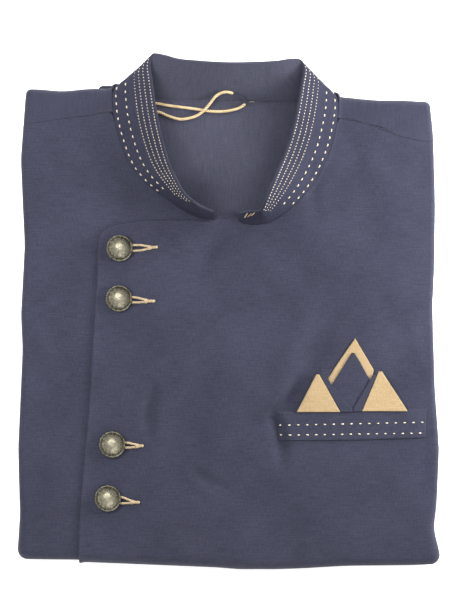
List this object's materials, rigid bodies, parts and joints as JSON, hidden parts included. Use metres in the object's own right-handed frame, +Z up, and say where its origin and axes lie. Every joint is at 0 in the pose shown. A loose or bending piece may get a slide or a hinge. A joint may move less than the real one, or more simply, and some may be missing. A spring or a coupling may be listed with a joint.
{
  "type": "folded sherwani",
  "caption": "Long South Asian men's coat folded face up, with a stitched stand collar, a side lap closed by metal dome buttons, and a folded square in a welt pocket.",
  "frame": {"origin": "centre of the bounding box at its base, on the surface that the folded garment lies on", "axes": "+Z up out of the front of the garment, +Y towards the collar, +X towards the wearer's left side, where the pocket is"},
  "size_m": [0.3477, 0.4221, 0.0588],
  "materials": {
    "navy_cloth": "matt slub weave",
    "tan_cloth": "matt plain weave",
    "tan_cord": "twisted cord",
    "aged_metal": "aged nickel-brass, hammered"
  },
  "bodies": {
    "root": {"folded_layers": "navy_cloth", "back": "navy_cloth", "right_front": "navy_cloth", "left_front": "navy_cloth", "collar_outer": "navy_cloth", "collar_inner": "navy_cloth", "button_1": "aged_metal", "button_loop_1": "tan_cord", "button_2": "aged_metal", "button_loop_2": "tan_cord", "button_3": "aged_metal", "button_loop_3": "tan_cord", "button_4": "aged_metal", "button_loop_4": "tan_cord", "hanger_loop": "tan_cord", "pocket_welt": "navy_cloth", "square_peak": "tan_cloth", "square_diamond": "navy_cloth", "square_left_band": "navy_cloth", "square_left_point": "tan_cloth", "square_right_band": "navy_cloth", "square_right_point": "tan_cloth"}
  },
  "joints": []
}
